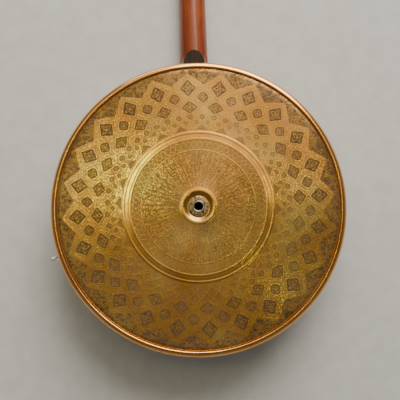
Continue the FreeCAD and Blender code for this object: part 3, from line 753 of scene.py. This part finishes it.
def dress_nodes():
    """Each CAD node gets the material of its slot; some get small rounded edges."""
    slots = {part["node"]: part["material_slot"] for part in frame["record"]["subparts"]}
    for name, node in frame["nodes"].items():
        material = own_materials.get(name, materials[slots[name]])
        if node.material_slots:
            for place in node.material_slots:
                place.material = material
        else:
            node.data.materials.append(material)
        if name in eased_edges:
            weld = node.modifiers.new("weld", "WELD")
            weld.merge_threshold = 0.001 * MM
            bevel = node.modifiers.new("bevel", "BEVEL")
            bevel.width = eased_edges[name]
            bevel.segments = 2
            bevel.limit_method = "ANGLE"
            bevel.angle_limit = math.radians(40)


# The resonator's back and side

# The flat of the plate lies a little lower than the ridge round its dimple
plate_z = back_high.z - 1.5 * MM
sheet = 1.0 * MM
spun_steps = 288


def engraved_back():
    """The plate with its ridge, dimple and raised rings, as one dense spun sheet."""
    top = back_high.z
    dimple_z = washer_low.z
    hole = 6.25 * MM
    flat_start, flat_end = 38.0, 161.2
    rim = 168.9 * MM
    rim_z = plate_z - 0.35 * MM
    under = plate_z - sheet
    slope = [
        (12.9 * MM, dimple_z),
        (14.0 * MM, dimple_z + 0.35 * MM),
        (15.4 * MM, dimple_z + 1.25 * MM),
        (17.0 * MM, top - 0.38 * MM),
        (18.6 * MM, top - 0.20 * MM),
        (20.8 * MM, top - 0.42 * MM),
        (25.0 * MM, plate_z + 0.62 * MM),
        (31.5 * MM, plate_z + 0.18 * MM),
        (flat_start * MM, plate_z),
    ]
    line = [(hole, dimple_z), (9.0 * MM, dimple_z), (12.6 * MM, dimple_z)]
    line += spline(slope, 5)
    line += raised_rings(flat_start, flat_end, plate_z)
    line += [(161.8 * MM, plate_z), (162.3 * MM, rim_z), (163.2 * MM, rim_z), (rim, rim_z)]
    line += [(rim, under), (32.0 * MM, under), (20.0 * MM, under), (hole, dimple_z - sheet)]
    vertices, faces = turned(line, spun_steps)
    piece = new_piece("engraved_back", vertices, faces, materials["engraved_brass"])
    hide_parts("resonator_back")


def raised_rings(start, end, level):
    """The flat of the plate between two radii in mm, with its double ring and its inner ring."""
    spacing = 3.2
    first = start + spacing / 2
    marks = {round(first + spacing * step, 3) for step in range(int((end - first) / spacing) + 1)}
    outer, middle = double_ring_radii
    beads = [(inner_ring_radius, 0.8, 0.05), (middle, 1.6, 0.12), (outer, 1.6, 0.12)]
    bead_steps = (-1.4, -1.0, -0.7, -0.35, 0.0, 0.35, 0.7, 1.0, 1.4)
    for crest, half_width, _ in beads:
        marks |= {crest + half_width * step for step in bead_steps}
    line = []
    for mark in sorted(marks):
        rise = 0.0
        for crest, half_width, height in beads:
            share = abs(mark - crest) / half_width
            if share < 1:
                rise = height * math.sqrt(1 - share * share)
        line.append((mark * MM, level + rise * MM))
    return line


def rolled_side():
    """The side wall, whose back edge rolls over the plate; the heel's notch is cut from it."""
    roll = 5.6 * MM
    curl = 1.2 * MM
    ease = 0.3 * MM
    wall_step = 8
    crest = resonator_radius - roll
    groove = resonator_radius - 7.0 * MM
    inside = resonator_radius - sheet
    foot = side_low.z
    line = [(resonator_radius - ease, foot), (resonator_radius, foot + ease)]
    line += [(resonator_radius, foot + step * wall_step * MM) for step in range(1, 6)]
    line += arc((crest, -roll), roll, 0, 90, 12)
    line += arc((crest, -curl), curl, 100, 178, 5)
    line += [(groove, plate_z + 0.1 * MM), (groove, plate_z)]
    line += [(inside, plate_z), (inside, -roll), (inside, foot)]
    vertices, faces = turned(line, spun_steps)
    piece = new_piece("rolled_side", vertices, faces, materials["spun_brass"])
    cut_heel_notch(piece)
    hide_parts("resonator_side")


def cut_heel_notch(piece):
    """Takes the heel's notch out of the side wall."""
    play = 0.8 * MM
    top = cap_high.z + play
    half_top = cap_high.x + play
    half_foot = 18.6 * MM
    low = flange_low.z - 2 * MM
    corners = [(-half_foot, low), (half_foot, low), (half_top, top), (-half_top, top)]
    depths = (resonator_radius - 12 * MM, resonator_radius + 6 * MM)
    vertices = [(x, y, z) for y in depths for x, z in corners]
    faces = [(3, 2, 1, 0), (4, 5, 6, 7), (0, 1, 5, 4), (1, 2, 6, 5), (2, 3, 7, 6), (3, 0, 4, 7)]
    mesh = bpy.data.meshes.new("notch cutter")
    mesh.from_pydata(vertices, [], faces)
    cutter = link("notch cutter", mesh)
    modifier = piece.modifiers.new("notch", "BOOLEAN")
    modifier.operation = "DIFFERENCE"
    modifier.object = cutter
    modifier.solver = "EXACT"
    apply_modifiers(piece)
    bpy.data.objects.remove(cutter)


# The neck


def carved_neck():
    """The neck's CAD form, carved smooth."""
    mesh = frame["nodes"]["neck"].data.copy()
    mesh.name = "carved_neck"
    piece = link("carved_neck", mesh)
    remesh = piece.modifiers.new("remesh", "REMESH")
    remesh.mode = "VOXEL"
    remesh.voxel_size = 1.1 * MM
    remesh.use_smooth_shade = True
    smooth = piece.modifiers.new("smooth", "SMOOTH")
    smooth.factor = 0.5
    smooth.iterations = 6
    apply_modifiers(piece)
    piece.data.materials.clear()
    piece.data.materials.append(materials["mahogany"])
    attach(piece, BODY)
    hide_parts("neck")


# The centre fixing and the strap pin; their profiles are radius and height in mm

strap_pin_angle = math.radians(197.5)


def eyelet_bolt():
    """The hollow bolt, whose rolled flange is the bright ring round the hole."""
    bore = 4.9
    rim = [(bore, -1.0), (5.05, -0.45), (5.4, -0.1), (5.85, 0.0), (6.25, -0.12), (6.55, -0.5)]
    shank = [(6.6, -1.0), (6.6, -2.2), (5.8, -2.2), (5.8, -17.0), (5.6, -17.2)]
    part = turned(in_mm([(bore, -17.2)] + rim + shank), 64)
    piece = new_piece("eyelet_bolt", *part, own_materials["resonator_bolt"])
    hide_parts("resonator_bolt")


def dished_washer():
    """The washer, dished and with a rounded edge."""
    profile = [(6.2, -3.0), (6.2, -2.25), (8.0, -2.2), (9.6, -2.25)]
    profile += [(11.4, -2.35), (12.1, -2.55), (12.3, -3.0)]
    part = turned(in_mm(profile), 72)
    piece = new_piece("dished_washer", *part, own_materials["resonator_washer"])
    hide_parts("resonator_washer")


def lathed_strap_pin():
    """The pin's collar, neck and knob, turned on the line that it stands on."""
    low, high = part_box("strap_pin")
    out = Vector((math.cos(strap_pin_angle), math.sin(strap_pin_angle), 0))
    down = Vector((0, 0, -1))
    root = out * resonator_radius + Vector((0, 0, (low.z + high.z) / 2))
    turn = Matrix((down.cross(out), down, out)).transposed()
    inner = [(2.2, -5.6), (2.5, -5.2), (2.5, -0.5), (3.3, -0.4)]
    outer = [(3.5, 0.4), (3.5, 3.0), (3.2, 4.0), (2.5, 4.7), (2.3, 6.0), (2.25, 8.4), (2.4, 9.8)]
    outer += [(2.5, 10.6), (2.5, 11.8), (2.1, 12.6), (1.0, 13.0)]
    part = turned(in_mm(inner + outer), 40, False)
    part = moved(part, Matrix.Translation(root) @ turn.to_4x4())
    piece = new_piece("lathed_strap_pin", *part, own_materials["strap_pin"])
    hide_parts("strap_pin")


# The pot's hoops, hooks and nuts

# The hooks leave a gap in degrees at the neck; their shanks stand on one circle
hook_count = 16
hook_neck_angle = 24.0
hook_radius = 148.45 * MM
claw_inner_radius = 140.9 * MM
claw_middle_radius = 143.0 * MM


def grooved_hoop():
    """The tension hoop, with eased edges and a shallow groove round its outside."""
    outer = hoop_high.x / MM
    inner = outer - 4.8
    waist = outer - 0.6
    low, high = hoop_low.z / MM, hoop_high.z / MM
    profile = [(inner, high - 0.3), (inner, low + 0.6), (inner + 0.6, low)]
    profile += [(outer - 1.0, low), (outer, low + 1.0), (outer, low + 3.0), (waist, low + 3.6)]
    profile += [(waist, high - 3.6), (outer, high - 3.0), (outer, high - 0.8)]
    profile += [(outer - 0.8, high), (inner + 0.3, high)]
    piece = new_piece("grooved_hoop", *turned(in_mm(profile), 200), materials["plated_steel"])
    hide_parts("tension_hoop")


def round_flesh_hoop():
    """The wire ring inside the turned skirt of the head."""
    low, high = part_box("flesh_hoop")
    middle = (low.z + high.z) / 2 / MM
    ring_radius = 142.0
    wire_radius = 1.55
    profile = arc((ring_radius, middle), wire_radius, 0, 330, 11)
    piece = new_piece("round_flesh_hoop", *turned(in_mm(profile), 180), materials["bell_brass"])
    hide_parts("flesh_hoop")


def hook_angles():
    """The hooks' places round the pot, spread evenly but for the gap at the neck."""
    step = (360 - hook_neck_angle) / (hook_count - 1)
    return [math.radians(90 + hook_neck_angle / 2 + step * number) for number in range(hook_count)]


def one_hook():
    """A hook in the plane y = 0: a flat claw over the hoop, a round bend and a threaded shank."""
    claw_half_depth = 1.1 * MM
    front = hoop_low.z - claw_half_depth
    bend = 2.4 * MM
    line = [(claw_inner_radius, front), (claw_middle_radius, front), (hook_radius - bend, front)]
    line += [
        (hook_radius - bend + bend * math.sin(turn), front + bend - bend * math.cos(turn))
        for turn in (math.radians(22.5 * step) for step in (1, 2, 3, 4))
    ]
    line += [(hook_radius, flange_low.z - 3 * MM), (hook_radius, flange_high.z + 5 * MM)]
    points = [Vector((radius, 0, z)) for radius, z in line]
    half_widths = [2.5, 2.5, 2.3, 2.0, 1.75, 1.6, 1.6, 1.6, 1.6]
    half_depths = [1.05, 1.1, 1.1, 1.25, 1.45, 1.6, 1.6, 1.6, 1.6]
    sizes = in_mm(zip(half_widths, half_depths))
    return swept(points, sizes, Vector((0, 1, 0)), 16)


def one_nut():
    """A closed hexagon nut on a round foot, with a domed end."""
    low = flange_high.z / MM
    foot = [(3.6, low), (3.6, low + 0.9)]
    hexagon = [(3.35, low + 1.3, 3.1), (3.62, low + 1.7, 3.15)]
    hexagon += [(3.62, low + 8.6, 3.15), (3.2, low + 9.2, 3.15)]
    dome = [(3.0, low + 9.6), (2.9, low + 10.4), (2.3, low + 11.4)]
    dome += [(1.2, low + 11.9), (0.3, low + 12.0)]
    nut = turned(in_mm(foot + hexagon + dome), 36, False)
    return moved(nut, Matrix.Translation((hook_radius, 0, 0)))


def hooks_and_nuts():
    kinds = [("bent_hooks", "bracket_hooks", one_hook()), ("domed_nuts", "hook_nuts", one_nut())]
    for name, node, part in kinds:
        copies = [moved(part, Matrix.Rotation(angle, 4, "Z")) for angle in hook_angles()]
        piece = new_piece(name, *gathered(copies), materials["plated_steel"])
        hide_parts(node)


# The geared pegs and the strings; heights of the pegs' profiles are in mm along their axes

peg_count = 4
string_radii = [0.38 * MM, 0.29 * MM, 0.205 * MM, 0.125 * MM]
wind_turns = [3.2, 3.6, 4.2, 5.0]
wind_z = -10.6
post_waist = 2.5
wound_strings = 3

# From the outer string to the outer string, at the tailpiece, the bridge and the nut
tail_spread = 26.0 * MM
bridge_spread = 33.0 * MM
nut_spread = 24.0 * MM

# How the strings loop round the tailpiece's pegs, start from there, cross its lip, lie in the
# notches of bridge and nut, and how far from their windings they end
barrel_z = -83.0 * MM
loop_radius = 1.45 * MM
tail_peg_inset = 8.9 * MM
lip_inset = 1.0 * MM
lip_drop = 0.9 * MM
bridge_notch = 0.45 * MM
nut_inset = 2.4 * MM
nut_notch = 0.5 * MM
run_start = 0.6 * MM
string_clearance = 0.06 * MM


def peg_frames():
    """Each peg's place: its Z axis runs out of the peghead's back, from the overlay's seat."""
    frames = []
    for number in range(peg_count):
        joint = next(j for j in frame["joints"] if j["name"] == f"post_{number + 1}_turn")
        axis = Vector(joint["axis"]).normalized()
        across = Vector((1, 0, 0))
        turn = Matrix((across, axis.cross(across), axis)).transposed()
        frames.append(Matrix.Translation(Vector(joint["pos_m"])) @ turn.to_4x4())
    return frames


def flat_oval(half_x, half_y, z, steps=40, power=2.5):
    """An oval ring of points, fuller than an ellipse."""
    points = []
    for number in range(steps):
        turn = 2 * math.pi * number / steps
        cosine, sine = math.cos(turn), math.sin(turn)
        x = math.copysign(abs(cosine) ** (2 / power), cosine) * half_x
        y = math.copysign(abs(sine) ** (2 / power), sine) * half_y
        points.append((x * MM, y * MM, z * MM))
    return points


def turned_post(number, place):
    """A string post, with a waist for the windings and a domed tip."""
    tip = -21.6
    profile = [(0.8, tip), (2.0, tip + 0.1), (2.8, tip + 0.5), (3.2, tip + 1.2), (3.2, -16.4)]
    profile += [(3.15, -15.4), (2.8, -14.6), (post_waist, -13.6), (post_waist, -9.2)]
    profile += [(3.0, -8.3), (3.2, -7.6), (3.2, 11.0)]
    name = f"turned_post_{number + 1}"
    part = moved(turned(in_mm(profile), 32, False), place)
    piece = new_piece(name, *part, materials["plated_steel"], f"post_{number + 1}")
    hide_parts(f"tuner_post_{number + 1}")


def is_left(number):
    """The first two strings wind on the posts of the left side."""
    return number < 2


def wire(number):
    """A string's material: the three thick ones are wound."""
    return wound if number < wound_strings else materials["string_wire"]


def string_windings(number, place):
    """The turns of a string on its post, with its cut end."""
    radius = string_radii[number]
    reach = post_waist * MM + radius
    pitch = 2.12 * radius
    start = 0.0 if is_left(number) else math.pi
    way = 1 if is_left(number) else -1
    turn_steps = 24
    points = []
    for step in range(int(wind_turns[number] * turn_steps) + 1):
        turn = start + way * 2 * math.pi * step / turn_steps
        z = wind_z * MM - pitch * step / turn_steps
        points.append(Vector((reach * math.cos(turn), reach * math.sin(turn), z)))
    last = points[-1]
    outward = (last - points[-2]).normalized()
    points += [last + outward * length for length in (2.2 * MM, 4.0 * MM)]
    part = moved(swept(points, [(radius, radius)] * len(points), Vector((0, 0, 1)), 8), place)
    name = f"string_windings_{number + 1}"
    piece = new_piece(name, *part, wire(number), f"post_{number + 1}")


def peg_bushing(number, place):
    """The round washer and hexagon nut where the post leaves the peghead's front."""
    bore = 3.25
    flats = 5.3
    profile = [(bore, -1.6), (6.2, -1.6), (6.3, -1.9), (6.1, -2.15), (5.9, -2.2, flats)]
    profile += [(5.9, -3.0, flats), (5.2, -3.55, flats), (4.6, -3.6), (bore, -3.6)]
    part = moved(turned(in_mm(profile), 48), place)
    piece = new_piece(f"peg_collar_{number + 1}", *part, materials["plated_steel"])
    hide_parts(f"tuner_bushing_{number + 1}")


def gear_can(number, place):
    """The round gear housing: a foot, a groove, a banded barrel and a domed lid."""
    bore = 2.66
    foot = [(bore, 14.0), (7.55, 14.0), (7.6, 14.5), (7.55, 15.3), (7.1, 15.7), (7.1, 16.6)]
    barrel = [(7.45, 17.0), (7.45, 19.2), (7.2, 19.5), (7.2, 20.1), (7.45, 20.4), (7.45, 22.8)]
    lid = [(7.2, 23.9), (6.5, 24.9), (5.3, 25.5), (4.2, 25.7), (3.9, 26.0), (bore, 26.0)]
    part = moved(turned(in_mm(foot + barrel + lid), 60), place)
    piece = new_piece(f"gear_can_{number + 1}", *part, materials["plated_steel"])
    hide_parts(f"tuner_housing_{number + 1}")


def pearl_button(number, place):
    """The oval button with its ferrule, shaft and screw."""
    body = f"button_{number + 1}"
    seat = 26.4
    ovals = [(3.2, 3.0, 0.9), (5.6, 3.9, 1.1), (8.4, 4.9, 1.9), (10.4, 5.6, 3.2)]
    ovals += [(11.4, 5.95, 5.2), (11.5, 6.0, 7.0), (11.3, 5.9, 9.2), (10.7, 5.5, 11.0)]
    ovals += [(9.6, 4.8, 12.2), (7.9, 3.8, 12.8), (5.5, 2.4, 13.0)]
    grip = rows_of([flat_oval(x, y, seat + z) for x, y, z in ovals], capped=True)
    piece = new_piece(f"pearl_button_{number + 1}", *moved(grip, place), materials["pearl"], body)
    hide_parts(f"tuner_button_{number + 1}")
    shaft = [(0.5, 13.4), (2.3, 13.4), (2.5, 13.6), (2.5, seat), (3.5, seat)]
    shaft += [(3.7, seat + 0.4), (3.4, seat + 1.3), (2.6, seat + 1.6), (0.5, seat + 1.6)]
    metal = moved(turned(in_mm(shaft), 32, False), place)
    ferrule = new_piece(f"button_shaft_{number + 1}", *metal, materials["plated_steel"], body)


def tuned_string(number, place):
    """A string from its loop on the tailpiece over the bridge and the nut to its post."""
    radius = string_radii[number]
    share = number / (peg_count - 1) - 0.5
    _, tail_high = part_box("tailpiece")
    bridge_low, bridge_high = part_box("bridge_cap")
    nut_low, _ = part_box("nut")
    bridge_y = (bridge_low.y + bridge_high.y) / 2
    peg = Vector((tail_spread * share, tail_high.y - tail_peg_inset, barrel_z))
    over_lip = Vector((peg.x, tail_high.y - lip_inset, barrel_z - lip_drop))
    over_bridge = Vector((bridge_spread * share, bridge_y, bridge_low.z + bridge_notch))
    over_nut = Vector((nut_spread * share, nut_low.y + nut_inset, nut_low.z + nut_notch))
    reach = post_waist * MM + 3 * radius + string_clearance
    at_post = place @ Vector((reach if is_left(number) else -reach, 0, wind_z * MM))
    steps = 16
    loop = []
    for step in range(steps + 1):
        turn = math.pi * (0.5 + step / steps)
        loop.append(peg + Vector((loop_radius * math.sin(turn), loop_radius * math.cos(turn), 0)))
    run = [peg + Vector((0, run_start, 0)), over_lip, over_bridge, over_nut, at_post]
    parts = [
        swept(loop, [(radius, radius)] * len(loop), Vector((0, 0, 1)), 8),
        swept(run, [(radius, radius)] * len(run), Vector((1, 0, 0)), 10),
    ]
    piece = new_piece(f"tuned_string_{number + 1}", *gathered(parts), wire(number))
    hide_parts(f"string_{number + 1}")


def pegs_and_strings():
    for number, place in enumerate(peg_frames()):
        turned_post(number, place)
        string_windings(number, place)
        peg_bushing(number, place)
        gear_can(number, place)
        pearl_button(number, place)
        tuned_string(number, place)


# Stage: a pale floor, soft lights and the camera

# Each soft lamp's name, place, target, width and height in metres, power in watts and colour
strong_green = (0.64, 1.0, 0.0)
pale_green = (0.74, 1.0, 0.30)
soft_lamps = [
    ("key", (0.40, 1.20, 1.30), (0.0, 0.05, 0.0), (1.2, 0.9), 15.0, (1.0, 0.96, 0.90)),
    ("horizon", (0.20, 1.70, 0.55), (0.0, 0.0, 0.0), (2.2, 0.9), 16.0, (1.0, 0.94, 0.86)),
    ("overhead", (-0.05, 0.90, 1.70), (0.0, 0.60, 0.0), (1.9, 1.5), 9.0, (1.0, 0.86, 0.68)),
    ("left glow", (-0.238, 0.248, 1.55), (-0.077, 0.031, 0.0), (0.28, 0.02), 0.62, strong_green),
    ("right glow", (0.327, 0.216, 1.55), (0.106, 0.021, 0.0), (0.12, 0.02), 0.12, pale_green),
    ("low glow", (0.294, -0.171, 1.55), (0.095, -0.105, 0.0), (0.13, 0.02), 0.10, pale_green),
]


def pale_floor():
    half = 12.0
    low = cad_low.z
    corners = [(-half, -half, low), (half, -half, low), (half, half, low), (-half, half, low)]
    mesh = bpy.data.meshes.new("floor")
    mesh.from_pydata(corners, [], [(0, 1, 2, 3)])
    floor = link("floor", mesh)
    material, tree, shader = new_material("floor", roughness=0.8)
    grain = noise(tree, coordinates(tree), 60.0, 3.0)
    shades = (0.3, (0.60, 0.59, 0.57)), (0.7, (0.66, 0.65, 0.63))
    set_colour(tree, shader, ramp(tree, grain, *shades))
    mesh.materials.append(material)


def facing(way):
    """The turn that points a lamp along a direction."""
    return way.to_track_quat("-Z", "Y").to_euler()


def soft_light(name, place, target, size, power, colour):
    """A lamp whose whole rectangle shines, towards a target."""
    light = bpy.data.lights.new(name, "AREA")
    light.shape = "RECTANGLE"
    light.size, light.size_y = size
    light.energy = power
    light.color = colour
    lamp = link(name, light)
    lamp.location = place
    lamp.rotation_euler = facing(Vector(target) - Vector(place))


def studio_walls():
    """Soft light from all round: pale at the height of the floor and dim overhead."""
    world = bpy.data.worlds.new("studio")
    world.use_nodes = True
    tree = world.node_tree
    _, _, height = split(tree, tree.nodes.new("ShaderNodeTexCoord").outputs["Generated"])
    shade = ramp(
        tree,
        height,
        (0.0, (0.33, 0.325, 0.31)),
        (0.4, (0.22, 0.215, 0.205)),
        (0.8, (0.125, 0.12, 0.115)),
    )
    tree.links.new(shade, tree.nodes["Background"].inputs["Color"])
    bpy.context.scene.world = world


def lights():
    """Daylight from a window and soft lamps; three narrow ones make the glows on the brass."""
    window = bpy.data.lights.new("window", "SUN")
    window.energy = 1.5
    window.angle = math.radians(40)
    window.color = (1.0, 0.97, 0.92)
    link("window", window).rotation_euler = facing(Vector((-0.25, -0.75, -0.62)))
    for lamp in soft_lamps:
        soft_light(*lamp)


def camera():
    """Over the back and a little towards its tail, turned as the photograph is."""
    pixel = resonator_radius / photo_radius
    right = Vector((math.cos(photo_lean), -math.sin(photo_lean), 0.0))
    up = Vector((math.sin(photo_lean), math.cos(photo_lean), 0.0))
    out = Vector((0, 0, 1))
    aim = right * ((picture_size / 2 - photo_middle[0]) * pixel)
    aim += up * ((photo_middle[1] - picture_size / 2) * pixel)
    back = out * math.cos(camera_tilt) - up * math.sin(camera_tilt)
    top = up * math.cos(camera_tilt) + out * math.sin(camera_tilt)
    data = bpy.data.cameras.new("camera")
    data.sensor_width = 36.0
    data.lens = data.sensor_width * camera_distance / (picture_size * pixel)
    data.clip_start = 0.01
    eye = link("camera", data)
    turn = Matrix((right, top, back)).transposed()
    eye.matrix_world = Matrix.Translation(aim + back * camera_distance) @ turn.to_4x4()
    bpy.context.scene.camera = eye


dress_nodes()
engraved_back()
rolled_side()
eyelet_bolt()
dished_washer()
lathed_strap_pin()
grooved_hoop()
round_flesh_hoop()
hooks_and_nuts()
pegs_and_strings()
carved_neck()
pale_floor()
studio_walls()
lights()
camera()

bpy.context.view_layer.update()
